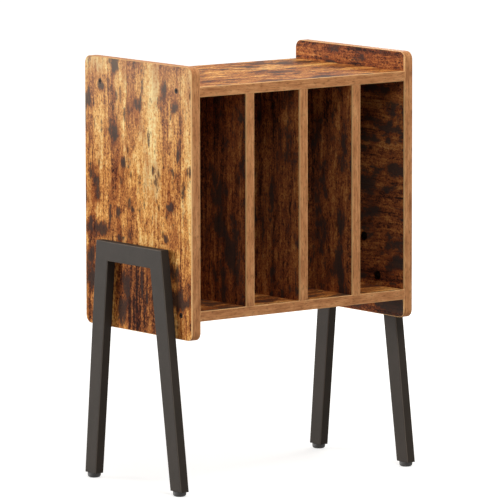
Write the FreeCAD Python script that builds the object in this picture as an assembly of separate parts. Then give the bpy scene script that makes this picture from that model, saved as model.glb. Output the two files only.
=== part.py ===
import FreeCAD, Part
import math
import os

# Record cabinet on two steel leg frames.
# Millimetres. X runs across the front, Y from front to back, Z up.
# The origin is on the floor, under the middle of the cabinet.

# Cabinet, outside sizes
cabinet_width = 500.0
cabinet_depth = 320.0
side_panel_height = 486.0
ground_clearance = 279.0
panel_corner_radius = 15.0

# Boards
side_panel_thickness = 18.0
shelf_thickness = 18.0
divider_thickness = 18.0
divider_count = 3
upper_lip = 35.0
lower_lip = 34.5
back_panel_thickness = 3.0
back_panel_side_gap = 0.5

# Plastic edge banding, glued on
band_thickness = 1.0
band_edge_radius = 0.7
glue_line = 0.1

# Leg frames, welded from rectangular tube
tube_thickness = 18.0
tube_wall = 1.5
tube_corner_radius = 2.0
crossbar_height = 35.0
crossbar_above_panel_edge = 157.0
leg_width_top = 38.0
leg_width_foot = 33.0
front_inset_top = 69.5
front_inset_foot = 11.5
rear_inset_top = 56.0
rear_inset_foot = 18.0
end_plate_thickness = 3.0

# Bolts that hold a leg frame to its side panel
bolt_radius = 3.0
bolt_length = 30.0
bolt_head_radius = 6.0
bolt_head_height = 3.3
bolt_hole_gap = 0.3
bolt_inset_from_leg = 14.0
bolt_rise_over_shelf = 18.5
socket_flats = 4.0
socket_depth = 2.0
washer_radius = 8.0
washer_thickness = 1.2

# Blind rivet nuts in the tube wall
rivet_body_radius = 4.4
rivet_flange_radius = 5.0
rivet_flange_thickness = 0.8
rivet_bulge_radius = 5.6
rivet_bulge_length = 3.5
rivet_length = 13.0
rivet_gap = 0.1

# Screws through the side panels into the shelf ends
shelf_screw_length = 50.0
shelf_screw_neck_radius = 3.5
shelf_screw_core_radius = 2.5
shelf_screw_head_radius = 5.0
shelf_screw_head_height = 2.5
shelf_screw_neck_length = 14.0
shelf_screw_point_length = 4.0
upper_screw_inset = 46.0
lower_screw_inset = 34.0

# Small countersunk screws
divider_screw_length = 50.0
divider_screw_radius = 2.0
divider_screw_head_radius = 4.0
back_screw_length = 16.0
back_screw_radius = 1.5
back_screw_head_radius = 3.0
back_screws_per_shelf = 4
back_screw_end_inset = 30.0
screw_gap = 0.1

# Wooden dowels
dowel_radius = 4.0
dowel_length = 30.0
dowel_depth_in_face = 10.0
dowel_chamfer = 1.0
dowel_gap = 0.1
dowel_end_gap = 0.5
divider_fixing_inset = 60.0

# Levelling feet
pad_radius = 12.0
pad_height = 9.0
pad_edge_radius = 5.0
pad_sole_thickness = 3.0
stud_radius = 4.0
stud_head_radius = 7.0
stud_head_height = 2.5
stud_chamfer = 1.0
stud_tip = 1.0
foot_travel = 10.0
running_gap = 0.05
nut_flats = 13.0
nut_height = 6.5

# One overrun for all cuts
overrun = 2.0

# Heights and faces that follow
half_width = cabinet_width / 2
half_depth = cabinet_depth / 2
panel_bottom = ground_clearance
panel_top = panel_bottom + side_panel_height
panel_inner = half_width - side_panel_thickness
bottom_shelf_under = panel_bottom + lower_lip
bottom_shelf_top = bottom_shelf_under + shelf_thickness
top_shelf_top = panel_top - upper_lip
top_shelf_under = top_shelf_top - shelf_thickness
board_front = -half_depth + band_thickness + glue_line
board_back = half_depth - back_panel_thickness
board_middle = (board_front + board_back) / 2
inner_width = 2 * panel_inner
bay_width = (inner_width - divider_count * divider_thickness) / (divider_count + 1)
frame_inner = half_width
frame_outer = half_width + tube_thickness
frame_middle = (frame_inner + frame_outer) / 2
frame_top = panel_bottom + crossbar_above_panel_edge
crossbar_under = frame_top - crossbar_height
leg_foot = pad_height
fixing_places = [board_front + divider_fixing_inset, board_back - divider_fixing_inset]

UP = FreeCAD.Vector(0, 0, 1)
LEFT = FreeCAD.Vector(-1, 0, 0)
RIGHT = FreeCAD.Vector(1, 0, 0)
BACKWARD = FreeCAD.Vector(0, 1, 0)
ORIGIN = FreeCAD.Vector(0, 0, 0)


def block(x_low, x_high, y_low, y_high, z_low, z_high):
    """A box between three pairs of faces."""
    corner = FreeCAD.Vector(x_low, y_low, z_low)
    return Part.makeBox(x_high - x_low, y_high - y_low, z_high - z_low, corner)


def rod(radius, start, direction, length):
    """A round bar from a point, along a direction."""
    return Part.makeCylinder(radius, length, start, direction)


def turned(profile):
    """A solid turned about the Z axis from (radius, height) points."""
    points = [FreeCAD.Vector(radius, 0, height) for radius, height in profile]
    outline = Part.makePolygon(points + points[:1])
    return Part.Face(outline).revolve(ORIGIN, UP)


def aimed(shape, place, direction):
    """The shape with its Z axis laid along a direction, at a place."""
    moved = shape.copy()
    moved.Placement = FreeCAD.Placement(place, FreeCAD.Rotation(UP, direction))
    return moved


def side_prism(outline, x_low, x_high):
    """A solid across X from an outline of (y, z) points."""
    points = [FreeCAD.Vector(x_low, y, z) for y, z in outline]
    face = Part.Face(Part.makePolygon(points + points[:1]))
    return face.extrude(FreeCAD.Vector(x_high - x_low, 0, 0))


def hexagon(flats, low, height):
    """A hexagonal bar about the Z axis, with two of its flats square to X."""
    corner_radius = flats / math.sqrt(3)
    points = []
    for corner in range(6):
        angle = math.radians(60 * corner + 30)
        points.append(FreeCAD.Vector(corner_radius * math.cos(angle), corner_radius * math.sin(angle), low))
    face = Part.Face(Part.makePolygon(points + points[:1]))
    return face.extrude(FreeCAD.Vector(0, 0, height))


def mirrored(shape):
    """The same piece on the other side of the cabinet."""
    return shape.mirror(ORIGIN, RIGHT)


def export(node, solids):
    """Writes one sub-part, or a group of like fasteners, to its own file."""
    group = solids if isinstance(solids, list) else [solids]
    shape = group[0] if len(group) == 1 else Part.makeCompound(group)
    shape.exportStep("parts/" + node + ".step")


def rounded_slab(x_low, x_high, inset):
    """The side panel's outline with round corners, drawn in by an inset."""
    slab = block(x_low, x_high, -half_depth + inset, half_depth - inset, panel_bottom + inset, panel_top - inset)
    corners = []
    for edge in slab.Edges:
        if abs(edge.tangentAt(edge.FirstParameter).x) == 1:
            corners.append(edge)
    return slab.makeFillet(panel_corner_radius - inset, corners)


def shelf_screw_places():
    """Where the screws of a side panel go, as (y, z)."""
    upper = (top_shelf_top + top_shelf_under) / 2
    lower = (bottom_shelf_top + bottom_shelf_under) / 2
    return [
        (-half_depth + upper_screw_inset, upper),
        (half_depth - upper_screw_inset, upper),
        (-half_depth + lower_screw_inset, lower),
        (half_depth - lower_screw_inset, lower),
    ]


def shelf_dowel_places():
    """Where the dowels in the shelf ends go, as (y, z)."""
    upper = (top_shelf_top + top_shelf_under) / 2
    lower = (bottom_shelf_top + bottom_shelf_under) / 2
    return [(board_middle, upper), (board_middle, lower)]


def leg_line(front, height):
    """The outer and inner edge of a leg at a height, as two y values."""
    if front:
        top = -half_depth + front_inset_top
        foot = -half_depth + front_inset_foot
        inward = 1
    else:
        top = half_depth - rear_inset_top
        foot = half_depth - rear_inset_foot
        inward = -1
    share = (height - leg_foot) / (frame_top - leg_foot)
    outer = foot + (top - foot) * share
    width = leg_width_foot + (leg_width_top - leg_width_foot) * share
    return outer, outer + inward * width


def leg_middle(front, height):
    """The middle of a leg at a height."""
    outer, inner = leg_line(front, height)
    return (outer + inner) / 2


def frame_bolt_places():
    """Where a leg frame is bolted to its side panel, as (y, z)."""
    places = []
    for front in (True, False):
        inner = leg_line(front, crossbar_under)[1]
        inward = 1 if front else -1
        places.append((inner + inward * bolt_inset_from_leg, (frame_top + crossbar_under) / 2))
    for front in (True, False):
        height = bottom_shelf_top + bolt_rise_over_shelf
        places.append((leg_middle(front, height), height))
    return places


def shelf_screw(gap):
    """A shelf screw with its head face at the origin; with a gap, the hole for it."""
    head = shelf_screw_head_radius + gap
    neck = shelf_screw_neck_radius + gap
    core = shelf_screw_core_radius + gap
    neck_end = shelf_screw_neck_length + gap
    point_start = shelf_screw_length - shelf_screw_point_length
    screw = turned([
        (0, 0), (head, 0), (neck, shelf_screw_head_height), (neck, neck_end),
        (core, neck_end), (core, point_start), (0, shelf_screw_length + gap),
    ])
    if gap:
        return screw
    return screw.cut(hexagon(socket_flats, 0, socket_depth))


def small_screw(radius, head_radius, length, gap):
    """A countersunk screw with its head face at the origin; with a gap, the hole for it."""
    head_height = head_radius - radius
    point_start = length - radius
    return turned([
        (0, 0), (head_radius + gap, 0), (radius + gap, head_height),
        (radius + gap, point_start), (0, length + gap),
    ])


def dowel():
    """A dowel with chamfered ends, from the origin upwards."""
    return turned([
        (0, 0), (dowel_radius - dowel_chamfer, 0), (dowel_radius, dowel_chamfer),
        (dowel_radius, dowel_length - dowel_chamfer), (dowel_radius - dowel_chamfer, dowel_length),
        (0, dowel_length),
    ])


def dowel_hole(place, direction, depth):
    """The hole for one end of a dowel."""
    return rod(dowel_radius + dowel_gap, place, direction, depth + dowel_end_gap)


def side_panel():
    """The left side panel, with its holes."""
    panel = rounded_slab(-half_width, -panel_inner, band_thickness + glue_line)
    cuts = []
    for y, z in shelf_screw_places():
        cuts.append(aimed(shelf_screw(screw_gap), FreeCAD.Vector(-half_width, y, z), RIGHT))
    for y, z in shelf_dowel_places():
        cuts.append(dowel_hole(FreeCAD.Vector(-panel_inner, y, z), LEFT, dowel_depth_in_face))
    for y, z in frame_bolt_places():
        start = FreeCAD.Vector(-half_width - overrun, y, z)
        cuts.append(rod(bolt_radius + bolt_hole_gap, start, RIGHT, side_panel_thickness + 2 * overrun))
        seat_depth = rivet_flange_thickness + rivet_gap
        cuts.append(rod(rivet_flange_radius + bolt_hole_gap, start, RIGHT, overrun + seat_depth))
    return panel.cut(cuts)


def side_panel_band():
    """The band that runs round the left side panel's edge."""
    ring = rounded_slab(-half_width, -panel_inner, 0)
    rims = []
    for edge in ring.Edges:
        if abs(edge.BoundBox.XLength) < band_edge_radius:
            rims.append(edge)
    ring = ring.makeFillet(band_edge_radius, rims)
    return ring.cut(rounded_slab(-half_width - overrun, -panel_inner + overrun, band_thickness))


def divider_centres():
    """The middle of each divider across the cabinet."""
    pitch = bay_width + divider_thickness
    first = -panel_inner + bay_width + divider_thickness / 2
    return [first + step * pitch for step in range(divider_count)]


def shelf(under, top):
    """A shelf board with the holes in its ends."""
    board = block(-panel_inner, panel_inner, board_front, board_back, under, top)
    cuts = []
    middle = (under + top) / 2
    for y, z in shelf_screw_places():
        if abs(z - middle) < shelf_thickness / 2:
            for side, direction in ((-half_width, RIGHT), (half_width, LEFT)):
                cuts.append(aimed(shelf_screw(screw_gap), FreeCAD.Vector(side, y, z), direction))
    for y, z in shelf_dowel_places():
        if abs(z - middle) < shelf_thickness / 2:
            depth = dowel_length - dowel_depth_in_face
            cuts.append(dowel_hole(FreeCAD.Vector(-panel_inner, y, z), RIGHT, depth))
            cuts.append(dowel_hole(FreeCAD.Vector(panel_inner, y, z), LEFT, depth))
    for x in back_screw_shelf_places():
        place = FreeCAD.Vector(x, half_depth, middle)
        cuts.append(aimed(back_screw(screw_gap), place, -BACKWARD))
    return board.cut(cuts)


def top_shelf():
    """The shelf that forms the deck, with sockets for the divider dowels."""
    cuts = []
    for x in divider_centres():
        for y in fixing_places:
            cuts.append(dowel_hole(FreeCAD.Vector(x, y, top_shelf_under), UP, dowel_depth_in_face))
    return shelf(top_shelf_under, top_shelf_top).cut(cuts)


def bottom_shelf():
    """The shelf under the compartments, bored for the divider screws."""
    cuts = []
    for x in divider_centres():
        for y in fixing_places:
            cuts.append(aimed(divider_screw(screw_gap), FreeCAD.Vector(x, y, bottom_shelf_under), UP))
    return shelf(bottom_shelf_under, bottom_shelf_top).cut(cuts)


def divider(x):
    """An upright divider, pinned above and screwed below."""
    left = x - divider_thickness / 2
    right = x + divider_thickness / 2
    board = block(left, right, board_front, board_back, bottom_shelf_top, top_shelf_under)
    cuts = []
    for y in fixing_places:
        depth = dowel_length - dowel_depth_in_face
        cuts.append(dowel_hole(FreeCAD.Vector(x, y, top_shelf_under), -UP, depth))
        cuts.append(aimed(divider_screw(screw_gap), FreeCAD.Vector(x, y, bottom_shelf_under), UP))
    middle = (bottom_shelf_top + top_shelf_under) / 2
    cuts.append(aimed(back_screw(screw_gap), FreeCAD.Vector(x, half_depth, middle), -BACKWARD))
    return board.cut(cuts)


def front_band(x_low, x_high, z_low, z_high, along):
    """The band on a board's front edge, its two long front arrises eased."""
    band = block(x_low, x_high, -half_depth, -half_depth + band_thickness, z_low, z_high)
    arrises = []
    for edge in band.Edges:
        box = edge.BoundBox
        at_front = abs(box.YMax + half_depth) < band_thickness / 2
        long_edge = (box.XLength if along == "x" else box.ZLength) > band_thickness
        across = (box.ZLength if along == "x" else box.XLength) < band_thickness
        if at_front and long_edge and across:
            arrises.append(edge)
    return band.makeFillet(band_edge_radius, arrises)


def divider_screw(gap):
    """A screw up through the bottom shelf into a divider."""
    return small_screw(divider_screw_radius, divider_screw_head_radius, divider_screw_length, gap)


def back_screw(gap):
    """A screw through the back panel."""
    return small_screw(back_screw_radius, back_screw_head_radius, back_screw_length, gap)


def back_screw_shelf_places():
    """Where the back panel's screws go along a shelf."""
    first = -panel_inner + back_screw_end_inset
    pitch = -2 * first / (back_screws_per_shelf - 1)
    return [first + step * pitch for step in range(back_screws_per_shelf)]


def back_screw_places():
    """Every place of a back panel screw, as (x, z)."""
    upper = (top_shelf_top + top_shelf_under) / 2
    lower = (bottom_shelf_top + bottom_shelf_under) / 2
    middle = (bottom_shelf_top + top_shelf_under) / 2
    places = [(x, z) for z in (upper, lower) for x in back_screw_shelf_places()]
    return places + [(x, middle) for x in divider_centres()]


def back_panel():
    """The thin panel on the back edges of shelves and dividers."""
    side = panel_inner - back_panel_side_gap
    panel = block(-side, side, board_back, half_depth, bottom_shelf_under, top_shelf_top)
    cuts = []
    for x, z in back_screw_places():
        cuts.append(aimed(back_screw(screw_gap), FreeCAD.Vector(x, half_depth, z), -BACKWARD))
    return panel.cut(cuts)


def eased_tube(outline, rails):
    """A closed bar from an outline, its arrises rounded along the given rails."""
    bar = side_prism(outline, -frame_outer, -frame_inner)
    arrises = []
    for edge in bar.Edges:
        if edge.BoundBox.XLength > tube_wall:
            continue
        middle = edge.valueAt((edge.FirstParameter + edge.LastParameter) / 2)
        for start, end in rails:
            if math.hypot(middle.y - (start[0] + end[0]) / 2, middle.z - (start[1] + end[1]) / 2) < tube_wall:
                arrises.append(edge)
    return bar.makeFillet(tube_corner_radius, arrises)


def leg_cavity(front, low, high):
    """The hollow inside a leg between two heights."""
    outline = []
    for height, order in ((low, (0, 1)), (high, (1, 0))):
        here = leg_line(front, height)
        for side in order:
            foot = leg_line(front, leg_foot)[side]
            top = leg_line(front, frame_top)[side]
            lean = math.hypot(top - foot, frame_top - leg_foot) / (frame_top - leg_foot)
            inward = math.copysign(tube_wall * lean, here[1 - side] - here[side])
            outline.append((here[side] + inward, height))
    return side_prism(outline, -frame_outer + tube_wall, -frame_inner - tube_wall)


def rivet_bores():
    """The holes in the tube wall for the rivet nuts."""
    bores = []
    for y, z in frame_bolt_places():
        start = FreeCAD.Vector(-frame_inner + overrun, y, z)
        bores.append(rod(rivet_body_radius + rivet_gap, start, LEFT, overrun + tube_wall + overrun))
    return bores


def leg(front):
    """A hollow leg that tapers to the foot, mitred at the top, cut level below."""
    top = (leg_line(front, frame_top)[0], frame_top)
    elbow = (leg_line(front, crossbar_under)[1], crossbar_under)
    inner_foot = (leg_line(front, leg_foot)[1], leg_foot)
    outer_foot = (leg_line(front, leg_foot)[0], leg_foot)
    bar = eased_tube([top, elbow, inner_foot, outer_foot], [(top, outer_foot), (elbow, inner_foot)])
    return bar.cut([leg_cavity(front, leg_foot - overrun, frame_top + overrun)] + rivet_bores())


def crossbar():
    """The hollow bar that joins the two legs, mitred at both ends."""
    front_top = (leg_line(True, frame_top)[0], frame_top)
    rear_top = (leg_line(False, frame_top)[0], frame_top)
    front_elbow = (leg_line(True, crossbar_under)[1], crossbar_under)
    rear_elbow = (leg_line(False, crossbar_under)[1], crossbar_under)
    outline = [front_top, rear_top, rear_elbow, front_elbow]
    bar = eased_tube(outline, [(front_top, rear_top), (front_elbow, rear_elbow)])
    hollow = block(
        -frame_outer + tube_wall, -frame_inner - tube_wall,
        front_top[0] - overrun, rear_top[0] + overrun,
        crossbar_under + tube_wall, frame_top - tube_wall,
    )
    return bar.cut([hollow] + rivet_bores())


def frame_bolt():
    """A button-head bolt: washer face at the origin, shank along Z."""
    rim = bolt_head_height / 3
    bolt = turned([
        (0, -bolt_head_height), (bolt_head_radius / 2, -bolt_head_height), (bolt_head_radius, -rim),
        (bolt_head_radius, 0), (bolt_radius, 0), (bolt_radius, bolt_length), (0, bolt_length),
    ])
    return bolt.cut(hexagon(socket_flats, -bolt_head_height, socket_depth))


def washer():
    """A flat washer that sits on the inside of the side panel."""
    disc = rod(washer_radius, ORIGIN, UP, washer_thickness)
    return disc.cut(rod(bolt_radius + bolt_hole_gap, ORIGIN, UP, washer_thickness))


def rivet_nut():
    """A set rivet nut: flange under the tube wall, bulge behind it."""
    bore = bolt_radius + running_gap
    return turned([
        (bore, -rivet_flange_thickness), (rivet_flange_radius, -rivet_flange_thickness),
        (rivet_flange_radius, 0), (rivet_body_radius, 0), (rivet_body_radius, tube_wall),
        (rivet_bulge_radius, tube_wall), (rivet_body_radius, tube_wall + rivet_bulge_length),
        (rivet_body_radius, rivet_length), (bore, rivet_length),
    ])


def foot_axis(front):
    """The upright axis of a left foot, at floor level."""
    return FreeCAD.Vector(-frame_middle, leg_middle(front, leg_foot), 0)


def end_plate(front):
    """The tapped plate welded into the foot of a leg."""
    plate = leg_cavity(front, leg_foot, leg_foot + end_plate_thickness)
    return plate.cut(rod(stud_radius + running_gap, foot_axis(front), UP, leg_foot + end_plate_thickness + overrun))


def weld_nut(front):
    """The nut welded on top of an end plate."""
    low = leg_foot + end_plate_thickness
    nut = hexagon(nut_flats, low, nut_height)
    nut = nut.cut(rod(stud_radius + running_gap, FreeCAD.Vector(0, 0, low), UP, nut_height))
    nut.translate(foot_axis(front))
    return nut


def foot_stud(front):
    """The steel stud of a foot, its flat head held in the pad."""
    top = leg_foot + end_plate_thickness + nut_height + foot_travel + stud_tip
    head_top = pad_sole_thickness + stud_head_height
    stud = turned([
        (0, pad_sole_thickness), (stud_head_radius, pad_sole_thickness), (stud_head_radius, head_top),
        (stud_radius, head_top), (stud_radius, top - stud_chamfer), (stud_radius - stud_chamfer, top),
        (0, top),
    ])
    stud.translate(foot_axis(front))
    return stud


def foot_pad(front):
    """The moulded pad of a foot, with a rounded lower rim."""
    pad = rod(pad_radius, ORIGIN, UP, pad_height)
    rim = [edge for edge in pad.Edges if edge.BoundBox.ZMax < pad_sole_thickness]
    pad = pad.makeFillet(pad_edge_radius, rim)
    low = pad_sole_thickness - running_gap
    head = rod(stud_head_radius + running_gap, FreeCAD.Vector(0, 0, low), UP, stud_head_height + 2 * running_gap)
    neck = rod(stud_radius + running_gap, FreeCAD.Vector(0, 0, low), UP, pad_height)
    pad = pad.cut([head, neck])
    pad.translate(foot_axis(front))
    return pad


def build_cabinet():
    """The boards of the cabinet."""
    export("left_side_panel", side_panel())
    export("right_side_panel", mirrored(side_panel()))
    export("top_shelf", top_shelf())
    export("bottom_shelf", bottom_shelf())
    export("back_panel", back_panel())
    for name, x in zip(("left", "middle", "right"), divider_centres()):
        export(name + "_divider", divider(x))


def build_bands():
    """The edge bands of the cabinet."""
    export("left_panel_edge_band", side_panel_band())
    export("right_panel_edge_band", mirrored(side_panel_band()))
    export("top_shelf_edge_band", front_band(-panel_inner, panel_inner, top_shelf_under, top_shelf_top, "x"))
    lower = front_band(-panel_inner, panel_inner, bottom_shelf_under, bottom_shelf_top, "x")
    export("bottom_shelf_edge_band", lower)
    for name, x in zip(("left", "middle", "right"), divider_centres()):
        left = x - divider_thickness / 2
        right = x + divider_thickness / 2
        band = front_band(left, right, bottom_shelf_top, top_shelf_under, "z")
        export(name + "_divider_edge_band", band)


def build_fixings():
    """The screws and dowels inside the cabinet."""
    screws = []
    for y, z in shelf_screw_places():
        screws.append(aimed(shelf_screw(0), FreeCAD.Vector(-half_width, y, z), RIGHT))
    export("left_shelf_screws", screws)
    export("right_shelf_screws", [mirrored(screw) for screw in screws])
    pins = []
    for y, z in shelf_dowel_places():
        start = FreeCAD.Vector(-panel_inner - dowel_depth_in_face, y, z)
        pins.append(aimed(dowel(), start, RIGHT))
    export("shelf_dowels", pins + [mirrored(pin) for pin in pins])
    uprights = []
    risers = []
    for x in divider_centres():
        for y in fixing_places:
            low = top_shelf_under + dowel_depth_in_face - dowel_length
            uprights.append(aimed(dowel(), FreeCAD.Vector(x, y, low), UP))
            risers.append(aimed(divider_screw(0), FreeCAD.Vector(x, y, bottom_shelf_under), UP))
    export("divider_dowels", uprights)
    export("divider_screws", risers)
    tacks = []
    for x, z in back_screw_places():
        tacks.append(aimed(back_screw(0), FreeCAD.Vector(x, half_depth, z), -BACKWARD))
    export("back_panel_screws", tacks)


def build_frames():
    """Both leg frames and what bolts them on."""
    bolts = []
    washers = []
    nuts = []
    for y, z in frame_bolt_places():
        seat = FreeCAD.Vector(-panel_inner + washer_thickness, y, z)
        bolts.append(aimed(frame_bolt(), seat, LEFT))
        washers.append(aimed(washer(), FreeCAD.Vector(-panel_inner, y, z), RIGHT))
        nuts.append(aimed(rivet_nut(), FreeCAD.Vector(-frame_inner, y, z), LEFT))
    pieces = {
        "front_leg": [leg(True)],
        "rear_leg": [leg(False)],
        "crossbar": [crossbar()],
        "frame_bolts": bolts,
        "frame_washers": washers,
        "rivet_nuts": nuts,
        "front_end_plate": [end_plate(True)],
        "rear_end_plate": [end_plate(False)],
        "front_foot_stud": [foot_stud(True)],
        "rear_foot_stud": [foot_stud(False)],
        "front_foot_pad": [foot_pad(True)],
        "rear_foot_pad": [foot_pad(False)],
    }
    for name, solids in pieces.items():
        export("left_" + name, solids)
        export("right_" + name, [mirrored(solid) for solid in solids])
    left_nuts = [weld_nut(True), weld_nut(False)]
    export("foot_weld_nuts", left_nuts + [mirrored(nut) for nut in left_nuts])


os.makedirs("parts", exist_ok=True)
build_cabinet()
build_bands()
build_fixings()
build_frames()
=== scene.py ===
import math

import bpy
from mathutils import Euler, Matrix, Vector


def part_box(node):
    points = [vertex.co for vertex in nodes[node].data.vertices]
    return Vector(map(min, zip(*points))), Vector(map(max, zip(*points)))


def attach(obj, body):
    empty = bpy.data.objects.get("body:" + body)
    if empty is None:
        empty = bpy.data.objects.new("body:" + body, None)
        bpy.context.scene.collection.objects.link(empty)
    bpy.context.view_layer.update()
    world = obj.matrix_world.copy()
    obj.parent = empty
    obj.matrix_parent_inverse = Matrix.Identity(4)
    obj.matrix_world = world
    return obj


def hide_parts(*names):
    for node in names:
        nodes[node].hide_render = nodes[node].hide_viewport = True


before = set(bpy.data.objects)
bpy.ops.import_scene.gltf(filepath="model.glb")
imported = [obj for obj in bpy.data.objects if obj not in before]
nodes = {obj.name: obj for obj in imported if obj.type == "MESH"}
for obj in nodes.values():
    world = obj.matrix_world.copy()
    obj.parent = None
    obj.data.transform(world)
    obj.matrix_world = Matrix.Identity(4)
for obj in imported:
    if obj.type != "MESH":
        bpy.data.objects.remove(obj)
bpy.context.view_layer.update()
sides = ("left", "right")
ends = ("front", "rear")

# The solids are in metres; the prints and textures on them are drawn in millimetres
metre_in_mm = 1000.0
side_low, side_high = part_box("right_side_panel")
side_middle = (side_low.x + side_high.x) / 2 * metre_in_mm
front_edge = side_low.y * metre_in_mm

# Camera, as it stood for the photograph: metres, degrees and millimetres of lens
camera_place = (-6.102, -7.931, 1.710)
camera_yaw = -37.58
camera_pitch = -7.422
camera_roll = -0.109
camera_lens = 400.8
camera_sensor = 36.0
camera_reach = 100.0

# Studio, in metres. The floor is lifted to white, less so near the stand, where its shadow lies.
white = "ffffff"
floor_half = 40.0
floor_colour = "bfbdb9"
floor_roughness = 0.9
floor_near = 0.8
floor_far = 3.2
floor_lift = (0.70, 0.98)
ambient_level = 0.24
softboxes = {
    "key_light": {"place": (-4.3, 5.0, 0.5), "aim": (-0.1, 0.0, 0.4), "size": 2.4, "watts": 486.0},
    "front_light": {"place": (-0.3, -1.7, 2.4), "aim": (0.0, 0.0, 0.65), "size": 1.2, "watts": 35.0},
    "overhead_light": {"place": (-0.3, 0.1, 3.0), "aim": (0.0, 0.0, 0.4), "size": 1.8, "watts": 23.0},
    "far_side_light": {"place": (2.1, 1.1, 1.3), "aim": (0.2, 0.0, 0.5), "size": 1.6, "watts": 30.0},
}


def linear(colour):
    """An sRGB hex colour as linear red, green, blue and alpha."""
    channels = []
    for start in (0, 2, 4):
        value = int(colour[start:start + 2], 16) / 255
        channels.append(value / 12.92 if value <= 0.04045 else ((value + 0.055) / 1.055) ** 2.4)
    return (*channels, 1.0)


def add(tree, kind, sockets=None, stops=(), **settings):
    """Adds a node with its settings, its colour stops in rising order, and values or links on its sockets."""
    made = tree.nodes.new(kind)
    for name, value in settings.items():
        setattr(made, name, value)
    for index, (place, colour) in enumerate(stops):
        elements = made.color_ramp.elements
        stop = elements[index] if index < len(elements) else elements.new(place)
        stop.position = place
        stop.color = linear(colour)
    for name, value in (sockets or {}).items():
        named = [socket for socket in made.inputs if socket.name == name and socket.enabled]
        socket = made.inputs[name] if isinstance(name, int) else named[0]
        if isinstance(value, bpy.types.NodeSocket):
            tree.links.new(value, socket)
        else:
            socket.default_value = value
    shown = [socket for socket in made.outputs if socket.enabled]
    return made, shown[0] if shown else None


def new_material(name):
    """An empty material and its tree."""
    material = bpy.data.materials.new(name)
    material.use_nodes = True
    material.node_tree.nodes.clear()
    return material, material.node_tree


def finish_surface(tree, shader):
    """Joins a shader to the material's output."""
    add(tree, "ShaderNodeOutputMaterial", {"Surface": shader})


def place_in_mm(tree):
    """A point of the piece in millimetres, as a node with X, Y and Z."""
    here = add(tree, "ShaderNodeTexCoord")[0].outputs["Object"]
    scaled = add(tree, "ShaderNodeVectorMath", {0: here, "Scale": metre_in_mm}, operation="SCALE")[1]
    return add(tree, "ShaderNodeSeparateXYZ", {0: scaled})[0].outputs


# The figures of the prints: how wide and how long each one is in millimetres, its fractal detail,
# how much it curls, and a shift that sets it apart from the others. The real pores and flecks are
# under a millimetre, so mottle, grain, specks, cracks and flecks are drawn coarse enough to show.
figures = {
    "bands": (24.0, 420.0, 3.0, 0.0, 0.0),
    "streaks": (8.0, 150.0, 3.0, 0.0, 3.7),
    "mottle": (5.8, 8.6, 3.0, 0.7, 7.4),
    "grain": (3.0, 26.0, 2.0, 0.0, 11.1),
    "specks": (2.8, 3.6, 2.0, 0.0, 14.8),
    "heartwood": (40.0, 120.0, 3.0, 0.0, 31.0),
    "charcoal": (22.0, 44.0, 3.0, 0.0, 41.0),
    "cracks": (3.4, 60.0, 1.0, 0.0, 53.0),
    "ticks": (3.0, 6.5, 1.0, 0.0, 67.0),
    "strays": (58.0, 170.0, 2.0, 0.0, 71.0),
    "edge_lines": (3.0, 90.0, 3.0, 0.0, 0.0),
    "edge_clouds": (9.0, 34.0, 3.0, 0.0, 5.0),
    "edge_flecks": (2.6, 10.0, 2.0, 0.0, 9.0),
}
figure_roughness = 0.6
# Noise goes from 0 to 1, about this middle. The plain textures have soft or fine fractal detail.
noise_middle = 0.5
soft_detail = 2.0
fine_detail = 3.0


def figure(tree, place, name):
    """One figure of a print as fractal noise, at a place in millimetres: X across, Y along the grain."""
    width, length, detail, curl, shift = figures[name]
    moved = add(tree, "ShaderNodeVectorMath", {0: place, 1: (0.0, 0.0, shift)}, operation="ADD")[1]
    drawn = add(tree, "ShaderNodeVectorMath", {0: moved, 1: (1 / width, 1 / length, 1.0)},
                operation="MULTIPLY")[1]
    return add(tree, "ShaderNodeTexNoise", {"Vector": drawn, "Scale": 1.0, "Detail": detail,
                                            "Roughness": figure_roughness, "Distortion": curl})[1]


def add_figures(tree, start, drawn, shares):
    """Adds each figure's share to a value, counted from the figure's middle."""
    total = start
    for name, share in shares.items():
        part = add(tree, "ShaderNodeMath", {0: drawn[name], 1: share, 2: -share * noise_middle},
                   operation="MULTIPLY_ADD")[1]
        total = add(tree, "ShaderNodeMath", {0: total, 1: part}, operation="ADD")[1]
    return total


# The wood of the decor print: how much each figure counts in its tone, how far the tone reaches
# from dark to golden, the wash of its red heartwood and the pale wash of its painted sheen
tone_shares = {"bands": 0.36, "streaks": 0.46, "mottle": 0.44, "grain": 0.20, "specks": 0.30}
tone_reach = 0.20
wood_tones = [
    (0.0, "2e160e"), (0.16, "6b391e"), (0.33, "a46233"), (0.50, "d08a46"), (0.69, "efb363"), (1.0, "fee3a0"),
]
red_starts = 0.48
red_full = 0.68
red_most = 0.55
red_wash = "b06a46"
painted_sheen_colour = "aca49a"

# The grain sways from side to side: the length of a sway and its reach, in millimetres
sway_length = 120.0
sway_reach = 14.0

# Planks, in millimetres, with a fine dark seam between them. Each draws its tone by lot, and the
# lot's step gives every face planks of its own.
plank_width = 160.0
plank_seam_at = 33.0
plank_bias = 0.08
plank_lot_step = 5.3
seam_half = 0.8
seam_strength = 0.7

# Long fine cracks and short ticks: where their figures start to show, and how much darker they are
# than the wood they lie in
crack_starts = 0.66
crack_full = 0.76
tick_starts = 0.60
tick_full = 0.74
score_depth = 0.13

# Charcoal smudges: the figures that fray them, the warm scorch of their rims and their soot
charcoal_contrast = 1.6
charcoal_shares = {"mottle": 0.90, "streaks": 0.80}
scorch_starts = 0.61
scorch_full = 0.76
scorch_cover = 0.6
scorch_wash = "c48c5c"
char_starts = 0.65
char_full = 0.94
char_cover = 0.90
char_tones = [(0.10, "774a30"), (0.55, "443027"), (1.0, "302926")]

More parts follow.
